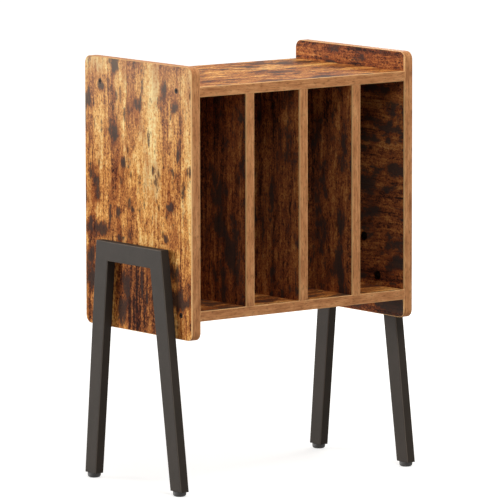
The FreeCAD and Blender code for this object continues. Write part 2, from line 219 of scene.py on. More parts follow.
# Small knots: a cell of so many millimetres holds one or none, by lot. A knot is full within its
# first reach and gone at its second, in shares of the cell.
knot_cell = (46.0, 105.0)
knot_reach = (0.035, 0.085)
knot_share = 0.35
knot_lot_step = 17.3
knot_strength = 0.8
mark_colour = "46241a"


def sway_grain(tree, place):
    """Moves a place a little to and fro across the grain, so that no streak runs quite straight."""
    drift = add(tree, "ShaderNodeVectorMath", {0: place, 1: (1 / sway_length,) * 3}, operation="MULTIPLY")[1]
    wander = add(tree, "ShaderNodeTexNoise", {"Vector": drift, "Scale": 1.0, "Detail": soft_detail})[0]
    centred = add(tree, "ShaderNodeVectorMath", {0: wander.outputs["Color"], 1: (noise_middle,) * 3},
                  operation="SUBTRACT")[1]
    sway = add(tree, "ShaderNodeVectorMath", {0: centred, 1: (sway_reach, 0.0, 0.0)}, operation="MULTIPLY")[1]
    return add(tree, "ShaderNodeVectorMath", {0: place, 1: sway}, operation="ADD")[1]


def lay_planks(tree, across, face):
    """How much each plank's tone differs from the others, and the seam between two of them."""
    along_planks = add(tree, "ShaderNodeMath", {0: across, 1: 1 / plank_width,
                                                2: -plank_seam_at / plank_width},
                       operation="MULTIPLY_ADD")[1]
    plank = add(tree, "ShaderNodeMath", {0: along_planks}, operation="FLOOR")[1]
    seed = add(tree, "ShaderNodeMath", {0: face, 1: plank_lot_step, 2: plank}, operation="MULTIPLY_ADD")[1]
    whole = add(tree, "ShaderNodeMath", {0: seed}, operation="ROUND")[1]
    lot = add(tree, "ShaderNodeTexWhiteNoise", {"W": whole}, noise_dimensions="1D")[0].outputs["Value"]
    bias = add(tree, "ShaderNodeMath", {0: lot, 1: plank_bias, 2: -plank_bias * noise_middle},
               operation="MULTIPLY_ADD")[1]
    to_seam = add(tree, "ShaderNodeMath", {0: along_planks, 1: plank}, operation="SUBTRACT")[1]
    seam = add(tree, "ShaderNodeMapRange", {"Value": to_seam, "From Min": 0.0,
                                            "From Max": 2 * seam_half / plank_width,
                                            "To Min": seam_strength, "To Max": 0.0})[1]
    return bias, seam


def score_wood(tree, place):
    """Long fine cracks and short ticks."""
    cracked = add(tree, "ShaderNodeMapRange", {"Value": figure(tree, place, "cracks"),
                                               "From Min": crack_starts, "From Max": crack_full})[1]
    ticked = add(tree, "ShaderNodeMapRange", {"Value": figure(tree, place, "ticks"),
                                              "From Min": tick_starts, "From Max": tick_full})[1]
    return add(tree, "ShaderNodeMath", {0: cracked, 1: ticked}, operation="MAXIMUM")[1]


def redden_wood(tree, place, more, wood):
    """Washes the wood red where the heartwood lies."""
    redness = add(tree, "ShaderNodeMath", {0: figure(tree, place, "heartwood"), 1: more}, operation="ADD")[1]
    red = add(tree, "ShaderNodeMapRange", {"Value": redness, "From Min": red_starts, "From Max": red_full,
                                           "To Max": red_most})[1]
    return add(tree, "ShaderNodeMix", {"Factor": red, "A": wood, "B": linear(red_wash)},
               data_type="RGBA", blend_type="MULTIPLY")[1]


def char_wood(tree, place, drawn, more, wood):
    """Burns charcoal smudges into the wood, whose ragged rims break up into the mottle and the streaks."""
    smudge = add(tree, "ShaderNodeMath", {0: figure(tree, place, "charcoal"), 1: charcoal_contrast,
                                          2: noise_middle - noise_middle * charcoal_contrast},
                 operation="MULTIPLY_ADD")[1]
    ragged = add_figures(tree, smudge, drawn, charcoal_shares)
    charred = add(tree, "ShaderNodeMath", {0: ragged, 1: more}, operation="ADD")[1]
    scorch = add(tree, "ShaderNodeMapRange", {"Value": charred, "From Min": scorch_starts,
                                              "From Max": scorch_full, "To Max": scorch_cover},
                 interpolation_type="SMOOTHSTEP")[1]
    scorched = add(tree, "ShaderNodeMix", {"Factor": scorch, "A": wood, "B": linear(scorch_wash)},
                   data_type="RGBA", blend_type="MULTIPLY")[1]
    soot = add(tree, "ShaderNodeMapRange", {"Value": charred, "From Min": char_starts, "From Max": char_full,
                                            "To Max": char_cover}, interpolation_type="SMOOTHSTEP")[1]
    charcoal = add(tree, "ShaderNodeValToRGB", {"Fac": soot}, stops=char_tones)[1]
    return add(tree, "ShaderNodeMix", {"Factor": soot, "A": scorched, "B": charcoal}, data_type="RGBA")[1]


def strew_knots(tree, place, face):
    """Small knots stretched along the grain."""
    cell = add(tree, "ShaderNodeVectorMath", {0: place, 1: (1 / knot_cell[0], 1 / knot_cell[1], 0.0)},
               operation="MULTIPLY")[1]
    lifted = add(tree, "ShaderNodeVectorMath", {0: face, "Scale": knot_lot_step}, operation="SCALE")[1]
    strewn = add(tree, "ShaderNodeVectorMath", {0: cell, 1: lifted}, operation="ADD")[1]
    cells = add(tree, "ShaderNodeTexVoronoi", {"Vector": strewn, "Scale": 1.0},
                voronoi_dimensions="2D")[0].outputs
    knot = add(tree, "ShaderNodeMapRange", {"Value": cells["Distance"], "From Min": knot_reach[0],
                                            "From Max": knot_reach[1], "To Min": knot_strength,
                                            "To Max": 0.0})[1]
    chance = add(tree, "ShaderNodeSeparateColor", {"Color": cells["Color"]})[1]
    kept = add(tree, "ShaderNodeMath", {0: chance, 1: knot_share}, operation="LESS_THAN")[1]
    return add(tree, "ShaderNodeMath", {0: knot, 1: kept}, operation="MULTIPLY")[1]


def rustic_print():
    """Aged, stained softwood planks as printed on the decor paper of the boards.

    Place: X across the grain, Y along it, both in millimetres, and Z another number for each face.
    Char adds charcoal smudges, Tone makes the wood more golden, or darker where it is below zero,
    Red spreads its red heartwood and Painted sheen lays a pale painted sheen over its tones.
    """
    tree = bpy.data.node_groups.new("rustic_print", "ShaderNodeTree")
    for name in ("Place", "Char", "Tone", "Painted sheen", "Red"):
        kind = "NodeSocketVector" if name == "Place" else "NodeSocketFloat"
        tree.interface.new_socket(name, in_out="INPUT", socket_type=kind)
    for name, kind in (("Colour", "NodeSocketColor"), ("Height", "NodeSocketFloat")):
        tree.interface.new_socket(name, in_out="OUTPUT", socket_type=kind)
    given = add(tree, "NodeGroupInput")[0].outputs
    parts = add(tree, "ShaderNodeSeparateXYZ", {0: given["Place"]})[0].outputs
    place = sway_grain(tree, given["Place"])
    drawn = {name: figure(tree, place, name) for name in tone_shares}
    bias, seam = lay_planks(tree, parts["X"], parts["Z"])
    scored = score_wood(tree, place)

    figured = add_figures(tree, given["Tone"], drawn, tone_shares)
    biased = add(tree, "ShaderNodeMath", {0: figured, 1: bias}, operation="ADD")[1]
    tone = add(tree, "ShaderNodeMath", {0: scored, 1: -score_depth, 2: biased}, operation="MULTIPLY_ADD")[1]
    spread = add(tree, "ShaderNodeMapRange", {"Value": tone, "From Min": -tone_reach,
                                              "From Max": tone_reach})[1]
    wood = add(tree, "ShaderNodeValToRGB", {"Fac": spread}, stops=wood_tones)[1]
    reddened = redden_wood(tree, place, given["Red"], wood)
    burnt = char_wood(tree, place, drawn, given["Char"], reddened)
    # Painted sheen: a pale wash over the print.
    lifted = add(tree, "ShaderNodeMix", {"Factor": given["Painted sheen"], "A": burnt, "B": linear(painted_sheen_colour)},
                 data_type="RGBA", blend_type="SCREEN")[1]
    knots = strew_knots(tree, place, parts["Z"])
    marks = add(tree, "ShaderNodeMath", {0: knots, 1: seam}, operation="MAXIMUM")[1]
    colour = add(tree, "ShaderNodeMix", {"Factor": marks, "A": lifted, "B": linear(mark_colour)},
                 data_type="RGBA")[1]

    sunk = add(tree, "ShaderNodeMath", {0: marks, 1: scored}, operation="MAXIMUM")[1]
    height = add(tree, "ShaderNodeMath", {0: drawn["grain"], 1: sunk}, operation="SUBTRACT")[1]
    add(tree, "NodeGroupOutput", {"Colour": colour, "Height": height})
    return tree


# A mark is at full strength inside its core and gone at its rim, in shares of its half sizes
mark_core = 0.2
mark_rim = 1.6


def marks_on_board(tree, across, along, marks):
    """How strongly oval marks lie at a place; each is its middle, half width, half length and strength."""
    total = None
    flat = add(tree, "ShaderNodeCombineXYZ", {"X": across, "Y": along})[1]
    for middle_across, middle_along, half_width, half_length, strength in marks:
        from_middle = add(tree, "ShaderNodeVectorMath", {0: flat, 1: (middle_across, middle_along, 0.0)},
                          operation="SUBTRACT")[1]
        oval = add(tree, "ShaderNodeVectorMath", {0: from_middle, 1: (1 / half_width, 1 / half_length, 0.0)},
                   operation="MULTIPLY")[1]
        away = add(tree, "ShaderNodeVectorMath", {0: oval}, operation="LENGTH")[0].outputs["Value"]
        mark = add(tree, "ShaderNodeMapRange", {"Value": away, "From Min": mark_core, "From Max": mark_rim,
                                                "To Min": strength, "To Max": 0.0},
                   interpolation_type="SMOOTHSTEP")[1]
        if total is None:
            total = mark
        else:
            total = add(tree, "ShaderNodeMath", {0: total, 1: mark}, operation="ADD")[1]
    return total


# Charcoal smudges and knots, then golden and dark stretches, on the left side's outer face,
# in millimetres: middle (y, z), half width, half length, strength
left_smudges = [
    (66, 750, 13, 20, 0.42), (76, 676, 12, 34, 0.24), (75, 618, 15, 44, 0.32), (45, 580, 7, 13, 0.50),
    (141, 560, 11, 14, 0.38), (128, 532, 10, 18, 0.32), (122, 508, 12, 16, 0.40), (112, 712, 11, 9, 0.36),
    (148, 694, 12, 16, 0.38), (157, 652, 7, 30, 0.28), (0, 690, 11, 16, 0.40), (-78, 715, 14, 18, 0.42),
    (-110, 696, 13, 15, 0.32), (-120, 602, 8, 15, 0.30), (-111, 566, 11, 18, 0.30), (-45, 574, 4, 9, 0.50),
    (-154, 575, 3, 14, 0.50), (58, 493, 9, 9, 0.46), (16, 494, 6, 9, 0.46), (20, 455, 10, 26, 0.28),
    (-98, 513, 11, 8, 0.40), (-82, 454, 8, 10, 0.56), (137, 462, 22, 20, 0.44), (110, 452, 13, 16, 0.42),
    (146, 404, 17, 20, 0.46), (144, 358, 14, 22, 0.36), (56, 443, 8, 7, 0.42), (-106, 396, 20, 18, 0.42),
    (-120, 350, 24, 20, 0.50), (-146, 344, 14, 9, 0.26), (41, 340, 15, 30, 0.40), (-10, 365, 5, 26, 0.50),
    (-25, 346, 3, 16, 0.50), (51, 308, 13, 26, 0.36), (-19, 318, 8, 9, 0.34), (86, 487, 9, 26, 0.20),
    (159, 522, 6, 26, 0.26), (8, 320, 7, 26, 0.22), (-104, 300, 16, 12, 0.24),
]
left_stretches = [
    (-36, 640, 29, 130, 0.15), (10, 588, 12, 20, 0.05), (-40, 492, 30, 54, 0.04), (-152, 620, 12, 150, 0.08),
    (50, 728, 10, 36, 0.05), (90, 706, 9, 40, -0.04), (118, 640, 13, 70, 0.07), (92, 604, 11, 34, -0.03),
    (73, 600, 12, 96, -0.09), (-92, 530, 17, 44, -0.01), (-120, 560, 16, 44, -0.05),
    (-112, 704, 18, 30, -0.05), (-108, 662, 14, 44, 0.04), (132, 545, 15, 56, -0.04),
    (120, 448, 40, 32, -0.11), (20, 468, 26, 56, -0.04), (-10, 540, 18, 110, 0.06), (-94, 440, 16, 34, -0.02),
    (-124, 356, 32, 48, -0.07), (144, 350, 26, 90, -0.14), (10, 346, 76, 76, -0.145),
    (126, 756, 46, 20, 0.13), (126, 694, 42, 46, -0.02), (36, 616, 12, 40, 0.03), (12, 600, 14, 60, 0.04),
    (150, 600, 12, 50, -0.03), (70, 512, 14, 34, -0.04), (-24, 442, 50, 12, 0.06), (-112, 318, 18, 26, 0.06),
    (-152, 340, 12, 60, -0.09), (-112, 736, 22, 16, 0.07), (-10, 712, 32, 40, 0.05), (-84, 500, 14, 50, 0.06),
    (-92, 572, 16, 34, 0.07), (-30, 566, 14, 24, 0.05), (-72, 452, 11, 28, 0.06), (124, 480, 26, 16, 0.05),
    (132, 654, 10, 24, 0.05), (154, 300, 14, 18, -0.09), (-154, 300, 14, 16, -0.10), (32, 572, 11, 26, 0.06),
    (-50, 735, 26, 36, 0.05), (-34, 640, 8, 16, 0.04), (-58, 556, 15, 34, 0.12), (-124, 642, 15, 44, -0.09),
    (-10, 594, 9, 26, -0.06), (-130, 524, 9, 22, 0.06), (-110, 526, 9, 20, -0.06), (70, 456, 14, 18, -0.07),
    (100, 510, 20, 32, -0.05), (-30, 482, 12, 26, -0.05), (-110, 406, 14, 24, 0.06),
    (-130, 346, 11, 20, 0.06), (52, 372, 13, 44, -0.05), (-70, 640, 10, 60, 0.03), (50, 640, 10, 40, 0.03),
    (-50, 494, 9, 22, 0.08), (-32, 636, 9, 18, 0.06), (76, 680, 10, 30, -0.04),
]
# Smudges on the right side's inner face, written the same way; the last three, under the bottom shelf, are
# painted shade
right_smudges_and_shade = [
    (-118, 632, 7, 5, 0.52), (-109, 619, 7, 6, 0.38), (-112, 599, 9, 6, 0.48), (-157, 656, 6, 8, 0.38),
    (-126, 650, 6, 20, 0.24), (-152, 608, 9, 10, 0.26), (-127, 560, 30, 26, 0.30), (-153, 544, 9, 8, 0.26),
    (-109, 507, 7, 5, 0.50), (-110, 428, 15, 10, 0.33), (-156, 457, 7, 5, 0.30), (-139, 369, 28, 17, 0.33),
    (-110, 403, 9, 10, 0.26), (-60, 690, 26, 14, 0.24), (-20, 470, 24, 16, 0.26), (60, 610, 30, 18, 0.24),
    (-104, 297, 34, 12, 0.22), (-22, 296, 32, 12, 0.26), (70, 297, 36, 12, 0.20),
]

# Each face's print has a number of its own: how deep the face lies, counted in face pitches.
# The left side gets a pale painted sheen towards its top, the bays' print is darkened, reddened and
# hazed as painted shade and sheen, and smudges left to chance gather where the strays' figure is high.
face_pitch = 12.0
painted_sheen_from = 560.0
painted_sheen_to = 765.0
painted_sheen_most = 0.26
bay_painted_shade = -0.03
bay_painted_sheen = 0.04
inner_red = 0.42
stray_starts = 0.38
stray_full = 0.68
stray_most = 0.38


def print_place(tree, here, across, along, depth):
    """A place on the decor print; the letters say which way the print runs on the board."""
    face = add(tree, "ShaderNodeMath", {0: here[depth], 1: 1 / face_pitch}, operation="MULTIPLY")[1]
    return add(tree, "ShaderNodeCombineXYZ", {"X": here[across], "Y": here[along], "Z": face})[1]


def strays(tree, place):
    """Charcoal smudges left to chance: gathered in some places of a board and missing from others."""
    return add(tree, "ShaderNodeMapRange", {"Value": figure(tree, place, "strays"), "From Min": stray_starts,
                                            "From Max": stray_full, "To Max": stray_most})[1]


def upright_print(tree, here):
    """The print stands upright on a divider, darker, redder and hazed as painted shade and sheen of the bays.
    """
    place = print_place(tree, here, "Y", "Z", "X")
    return {"Place": place, "Char": strays(tree, place), "Tone": bay_painted_shade, "Painted sheen": bay_painted_sheen,
            "Red": inner_red}


def shelf_print(tree, here):
    """The print runs along a shelf."""
    place = print_place(tree, here, "Y", "X", "Z")
    return {"Place": place, "Char": strays(tree, place)}


def left_side_print(tree, here):
    """The print stands upright, with its own smudges and golden stretches on the outer face, and a painted
    sheen towards its top.
    """
    outer = add(tree, "ShaderNodeMath", {0: here["X"], 1: -side_middle}, operation="LESS_THAN")[1]
    sockets = {"Place": print_place(tree, here, "Y", "Z", "X")}
    for socket, marks in (("Char", left_smudges), ("Tone", left_stretches)):
        strength = marks_on_board(tree, here["Y"], here["Z"], marks)
        sockets[socket] = add(tree, "ShaderNodeMath", {0: strength, 1: outer}, operation="MULTIPLY")[1]
    # Painted sheen, growing towards the top of the side.
    sockets["Painted sheen"] = add(tree, "ShaderNodeMapRange", {"Value": here["Z"], "From Min": painted_sheen_from,
                                                       "From Max": painted_sheen_to, "To Max": painted_sheen_most})[1]
    return sockets


def right_side_print(tree, here):
    """Upright on the outer face; on the inner face it runs from front to back, darker as painted shade of the
    bays.
    """
    inner = add(tree, "ShaderNodeMath", {0: here["X"], 1: side_middle}, operation="LESS_THAN")[1]
    place = add(tree, "ShaderNodeMix", {"Factor": inner, "A": print_place(tree, here, "Y", "Z", "X"),
                                        "B": print_place(tree, here, "Z", "Y", "X")}, data_type="VECTOR")[1]
    # Painted shade in the bay: the inner face's print is darkened.
    tone = add(tree, "ShaderNodeMath", {0: inner, 1: bay_painted_shade}, operation="MULTIPLY")[1]
    # The listed smudges include painted shade along the foot of the inner face, under the bottom shelf.
    strength = marks_on_board(tree, here["Y"], here["Z"], right_smudges_and_shade)
    char = add(tree, "ShaderNodeMath", {0: strength, 1: inner, 2: strays(tree, place)},
               operation="MULTIPLY_ADD")[1]
    return {"Place": place, "Char": char, "Tone": tone, "Painted sheen": bay_painted_sheen, "Red": inner_red}


# Melamine-faced board. The photograph shows next to no sheen on it, so its specular level is far
# below that of a plain melamine face. Along the front edge a pale painted highlight of the arris is
# this many millimetres wide.
laminate_roughness = 0.48
laminate_specular = 0.014
laminate_bump = 0.12
laminate_bump_depth = 0.00025
arris_highlight_colour = "efbf84"
front_highlight_width = 2.4


def laminate(name, group, draw):
    """Melamine-faced particle board: a matt printed face with a light pore texture.

    Along the front edge a pale line is painted on as the arris's highlight.
    """
    material, tree = new_material(name)
    here = place_in_mm(tree)
    printed = add(tree, "ShaderNodeGroup", draw(tree, here), node_tree=group)[0].outputs
    # Painted highlight: a pale line along the front edge where the arris would catch the light.
    painted_highlight = add(tree, "ShaderNodeMath", {0: here["Y"], 1: front_edge + front_highlight_width},
                  operation="LESS_THAN")[1]
    colour = add(tree, "ShaderNodeMix", {"Factor": painted_highlight, "A": printed["Colour"], "B": linear(arris_highlight_colour)},
                 data_type="RGBA")[1]
    bump = add(tree, "ShaderNodeBump", {"Height": printed["Height"], "Strength": laminate_bump,
                                        "Distance": laminate_bump_depth})[1]
    shader = add(tree, "ShaderNodeBsdfPrincipled", {"Base Color": colour, "Normal": bump,
                                                    "Roughness": laminate_roughness,
                                                    "Specular IOR Level": laminate_specular})[1]
    finish_surface(tree, shader)
    return material


# Edge banding: sizes in millimetres, the tones of its grain, its flecks and the pale painted highlight along
# its rims
band_thickness = 18.0
band_tones = [(0.36, "a26b45"), (0.50, "c68859"), (0.64, "dba26e")]
fleck_colour = "5f3a22"
fleck_starts = 0.54
fleck_full = 0.72
fleck_cover = 0.6
band_highlight_width = 1.3
band_highlight_cover = 0.75
band_roughness = 0.42
band_bump = 0.1
band_bump_depth = 0.0002


def edge_band(name, across, along):
    """ABS edge banding: a fine straight printed grain with short dark flecks, and a pale painted highlight
    along its rims.
    """
    material, tree = new_material(name)
    here = place_in_mm(tree)
    if len(along) == 1:
        run = here[along]
    else:
        run = add(tree, "ShaderNodeMath", {0: here[along[0]], 1: here[along[1]]}, operation="ADD")[1]
    place = add(tree, "ShaderNodeCombineXYZ", {"X": here[across], "Y": run})[1]
    lines = figure(tree, place, "edge_lines")
    clouds = figure(tree, place, "edge_clouds")
    both = add(tree, "ShaderNodeMath", {0: lines, 1: clouds}, operation="ADD")[1]
    tone = add(tree, "ShaderNodeMath", {0: both, 1: 1 / 2}, operation="MULTIPLY")[1]
    grain = add(tree, "ShaderNodeValToRGB", {"Fac": tone}, stops=band_tones)[1]
    fleck = add(tree, "ShaderNodeMapRange", {"Value": figure(tree, place, "edge_flecks"),
                                             "From Min": fleck_starts, "From Max": fleck_full,
                                             "To Max": fleck_cover})[1]
    flecked = add(tree, "ShaderNodeMix", {"Factor": fleck, "A": grain, "B": linear(fleck_colour)},
                  data_type="RGBA")[1]
    # Painted highlight: paler along both rims of the band, where its rounded arrises would catch the light.
    spot = add(tree, "ShaderNodeTexCoord")[0].outputs["Generated"]
    crosswise = add(tree, "ShaderNodeSeparateXYZ", {0: spot})[0].outputs[across]
    from_middle = add(tree, "ShaderNodeMath", {0: crosswise, 1: 1 / 2}, operation="SUBTRACT")[1]
    outwards = add(tree, "ShaderNodeMath", {0: from_middle}, operation="ABSOLUTE")[1]
    painted_highlight = add(tree, "ShaderNodeMapRange", {"Value": outwards,
                                               "From Min": 1 / 2 - band_highlight_width / band_thickness,
                                               "From Max": 1 / 2, "To Max": band_highlight_cover})[1]
    colour = add(tree, "ShaderNodeMix", {"Factor": painted_highlight, "A": flecked, "B": linear(arris_highlight_colour)},
                 data_type="RGBA")[1]
    bump = add(tree, "ShaderNodeBump", {"Height": lines, "Strength": band_bump,
                                        "Distance": band_bump_depth})[1]
    shader = add(tree, "ShaderNodeBsdfPrincipled", {"Base Color": colour, "Normal": bump,
                                                    "Roughness": band_roughness,
                                                    "Specular IOR Level": laminate_specular})[1]
    finish_surface(tree, shader)
    return material


# Powder coat: the size of its orange peel and of its faint haze in millimetres, the roughness over
# the peel's range, and how squarely a face points where the painted highlight on a round corner
# starts and is full. The real peel is finer, and drawn as coarse as it needs to show.
peel_size = 1.6
peel_range = (0.3, 0.7)
coat_roughness = (0.52, 0.64)
coat_bump = 0.08
coat_bump_depth = 0.0003
haze_size = 45.0
coat_colours = [(0.35, "37312b"), (0.65, "3c352f")]
coat_specular = 0.09
corner_highlight_colour = "786f66"
corner_highlight_starts = 0.95
corner_highlight_full = 0.78
corner_highlight_cover = 0.75


def powder_coat():
    """Matt powder coat on welded steel tube: warm near-black, with a faint orange peel.

    The tube's round corners get a lighter painted highlight.
    """
    material, tree = new_material("powder_coated_steel")
    place = add(tree, "ShaderNodeTexCoord")[0].outputs
    peel = add(tree, "ShaderNodeTexNoise", {"Vector": place["Object"], "Scale": metre_in_mm / peel_size,
                                            "Detail": soft_detail})[1]
    haze = add(tree, "ShaderNodeTexNoise", {"Vector": place["Object"], "Scale": metre_in_mm / haze_size,
                                            "Detail": fine_detail})[1]
    flat = add(tree, "ShaderNodeValToRGB", {"Fac": haze}, stops=coat_colours)[1]
    # Painted highlight: lighter where a face turns over a round corner.
    facing = add(tree, "ShaderNodeVectorMath", {0: place["Normal"]}, operation="ABSOLUTE")[1]
    straight = add(tree, "ShaderNodeSeparateXYZ", {0: facing})[0].outputs
    sideways = add(tree, "ShaderNodeMath", {0: straight["X"], 1: straight["Y"]}, operation="MAXIMUM")[1]
    squarely = add(tree, "ShaderNodeMath", {0: sideways, 1: straight["Z"]}, operation="MAXIMUM")[1]
    corner_highlight = add(tree, "ShaderNodeMapRange", {"Value": squarely, "From Min": corner_highlight_starts,
                                              "From Max": corner_highlight_full, "To Max": corner_highlight_cover})[1]
    colour = add(tree, "ShaderNodeMix", {"Factor": corner_highlight, "A": flat, "B": linear(corner_highlight_colour)},
                 data_type="RGBA")[1]
    gloss = add(tree, "ShaderNodeMapRange", {"Value": peel, "From Min": peel_range[0],
                                             "From Max": peel_range[1], "To Min": coat_roughness[0],
                                             "To Max": coat_roughness[1]})[1]
    bump = add(tree, "ShaderNodeBump", {"Height": peel, "Strength": coat_bump,
                                        "Distance": coat_bump_depth})[1]
    shader = add(tree, "ShaderNodeBsdfPrincipled", {"Base Color": colour, "Roughness": gloss, "Normal": bump,
                                                    "Specular IOR Level": coat_specular})[1]
    finish_surface(tree, shader)
    return material


# Hardboard: its fibre clumps and the clouds in its pressed pulp, in millimetres. Real clumps are
# about 1 mm, so they are drawn coarse enough to show. The printed face looks towards -Y, and its
# sheet number sets its print apart from the other boards'.
fibre_clump = 5.0
fibre_detail = 5.0
fibre_roughness = 0.7
pulp_cloud = 75.0
cloud_share = 0.35
fibre_tones = [(0.48, "5b4330"), (0.87, "94704f")]
hardboard_sheet = 29.0
hardboard_roughness = 0.62
hardboard_bump = 0.25
hardboard_bump_depth = 0.0003
front_facing = -0.5


def hardboard(group):
    """Pressed fibre board: printed decor on the face towards the bays, bare brown fibre behind."""
    material, tree = new_material("decor_faced_hardboard")
    here = place_in_mm(tree)
    place = add(tree, "ShaderNodeCombineXYZ", {"X": here["X"], "Y": here["Z"], "Z": hardboard_sheet})[1]
    # The printed face takes the bays' painted shade.
    printed = add(tree, "ShaderNodeGroup", {"Place": place, "Tone": bay_painted_shade}, node_tree=group)[0].outputs
    spot = add(tree, "ShaderNodeTexCoord")[0].outputs
    fibre = add(tree, "ShaderNodeTexNoise", {"Vector": spot["Object"], "Scale": metre_in_mm / fibre_clump,
                                             "Detail": fibre_detail, "Roughness": fibre_roughness})[1]
    cloud = add(tree, "ShaderNodeTexNoise", {"Vector": spot["Object"], "Scale": metre_in_mm / pulp_cloud,
                                             "Detail": fine_detail})[1]
    pulp = add(tree, "ShaderNodeMath", {0: cloud, 1: cloud_share, 2: fibre}, operation="MULTIPLY_ADD")[1]
    bare = add(tree, "ShaderNodeValToRGB", {"Fac": pulp}, stops=fibre_tones)[1]
    facing = add(tree, "ShaderNodeSeparateXYZ", {0: spot["Normal"]})[0].outputs["Y"]
    behind = add(tree, "ShaderNodeMath", {0: facing, 1: front_facing}, operation="GREATER_THAN")[1]
    colour = add(tree, "ShaderNodeMix", {"Factor": behind, "A": printed["Colour"], "B": bare},
                 data_type="RGBA")[1]
    bump = add(tree, "ShaderNodeBump", {"Height": fibre, "Strength": hardboard_bump,
                                        "Distance": hardboard_bump_depth})[1]
    shader = add(tree, "ShaderNodeBsdfPrincipled", {"Base Color": colour, "Normal": bump,
                                                    "Roughness": hardboard_roughness})[1]
    finish_surface(tree, shader)
    return material


# Beech of the dowels: its flecks in millimetres, and its tones
beech_fleck = 1.5
beech_tones = [(0.35, "c49a6c"), (0.65, "dfbd92")]
beech_roughness = 0.6


def beech():
    """Turned beech: pale, with short darker flecks along the dowel."""
    material, tree = new_material("beech_dowel")
    here = add(tree, "ShaderNodeTexCoord")[0].outputs["Object"]
    fleck = add(tree, "ShaderNodeTexNoise", {"Vector": here, "Scale": metre_in_mm / beech_fleck,
                                             "Detail": fine_detail})[1]
    colour = add(tree, "ShaderNodeValToRGB", {"Fac": fleck}, stops=beech_tones)[1]
    shader = add(tree, "ShaderNodeBsdfPrincipled", {"Base Color": colour, "Roughness": beech_roughness})[1]
    finish_surface(tree, shader)
    return material


# Steel of the fasteners: two tones, the size of its clouds in millimetres, and its roughness where
# it shines most and least. Black oxide leaves a dull, warm black, and zinc a soft grey shine.
steels = {
    "black_oxide_steel": ([(0.3, "170f0b"), (0.7, "251a14")], 3.0, (0.42, 0.55)),
    "zinc_plated_steel": ([(0.3, "747675"), (0.7, "9a9b97")], 4.0, (0.32, 0.46)),
}


def fastener_steel(name):
    """Plated or blackened steel with a slight cloudy variation in its shine."""
    tones, cloud_size, roughness = steels[name]
    material, tree = new_material(name)
    here = add(tree, "ShaderNodeTexCoord")[0].outputs["Object"]
    cloud = add(tree, "ShaderNodeTexNoise", {"Vector": here, "Scale": metre_in_mm / cloud_size,
                                             "Detail": fine_detail})[1]
    colour = add(tree, "ShaderNodeValToRGB", {"Fac": cloud}, stops=tones)[1]
    gloss = add(tree, "ShaderNodeMapRange", {"Value": cloud, "To Min": roughness[0],
                                             "To Max": roughness[1]})[1]
    shader = add(tree, "ShaderNodeBsdfPrincipled", {"Base Color": colour, "Roughness": gloss,
                                                    "Metallic": 1.0})[1]
    finish_surface(tree, shader)
    return material


# Moulded plastic: its eroded texture, drawn as coarse as it needs to show, and its clouds, in millimetres
plastic_texture = 0.9
plastic_cloud = 12.0
plastic_tones = [(0.35, "3d3b3a"), (0.65, "494745")]
plastic_roughness = 0.58
plastic_bump = 0.15
plastic_bump_depth = 0.0002


def moulded_plastic():
    """Injection-moulded polyethylene: dark grey with a fine spark-eroded texture."""
    material, tree = new_material("moulded_polyethylene")
    here = add(tree, "ShaderNodeTexCoord")[0].outputs["Object"]
    texture = add(tree, "ShaderNodeTexNoise", {"Vector": here, "Scale": metre_in_mm / plastic_texture,
                                               "Detail": soft_detail})[1]
    cloud = add(tree, "ShaderNodeTexNoise", {"Vector": here, "Scale": metre_in_mm / plastic_cloud,
                                             "Detail": soft_detail})[1]
    colour = add(tree, "ShaderNodeValToRGB", {"Fac": cloud}, stops=plastic_tones)[1]
    bump = add(tree, "ShaderNodeBump", {"Height": texture, "Strength": plastic_bump,
                                        "Distance": plastic_bump_depth})[1]
    shader = add(tree, "ShaderNodeBsdfPrincipled", {"Base Color": colour, "Normal": bump,
                                                    "Roughness": plastic_roughness})[1]
    finish_surface(tree, shader)
    return material


def dress(node, material):
    """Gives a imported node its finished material."""
    node.data.materials.clear()
    node.data.materials.append(material)


def dress_boards():
    """The boards, with the print upright on uprights and lengthwise on shelves."""
    group = rustic_print()
    dress(nodes["left_side_panel"], laminate("left_side_laminate", group, left_side_print))
    dress(nodes["right_side_panel"], laminate("right_side_laminate", group, right_side_print))
    upright = laminate("divider_laminate", group, upright_print)
    for name in ("left_divider", "middle_divider", "right_divider"):
        dress(nodes[name], upright)
    lengthwise = laminate("shelf_laminate", group, shelf_print)
    for name in ("top_shelf", "bottom_shelf"):
        dress(nodes[name], lengthwise)
    dress(nodes["back_panel"], hardboard(group))


def dress_edges():
    """The bands: round the side panels the grain follows the rim, on the boards it runs along them."""
    rim = edge_band("side_panel_edge_band", "X", "YZ")
    lengthwise = edge_band("shelf_edge_band", "Z", "X")
    upright = edge_band("divider_edge_band", "X", "Z")
    for side in sides:
        dress(nodes[f"{side}_panel_edge_band"], rim)
    for name in ("top_shelf", "bottom_shelf"):
        dress(nodes[f"{name}_edge_band"], lengthwise)
    for name in ("left", "middle", "right"):
        dress(nodes[f"{name}_divider_edge_band"], upright)


# Foot studs: an M8 thread in metres, its phase measured in turns
thread_pitch = 0.00125
thread_crest = 0.004
thread_depth = 0.000767
crest_share = 1 / 16
root_share = 3 / 8
thread_steps = 12
thread_runout = 0.0015
stud_sides = 40
stud_head = 0.0025
stud_head_radius = 0.007
stud_chamfer = 0.001


def thread_radius(height, turn, low, high):
    """How far the thread stands out at a height and a share of a turn, from its run-out to its chamfer."""
    phase = (height / thread_pitch - turn) % 1
    to_crest = min(phase, 1 - phase)
    cut = min(max((to_crest - crest_share) / (root_share - crest_share), 0), 1)
    started = min(max((height - low) / thread_runout, 0), 1)
    return min(thread_crest - thread_depth * cut * started, thread_crest - stud_chamfer + high - height)


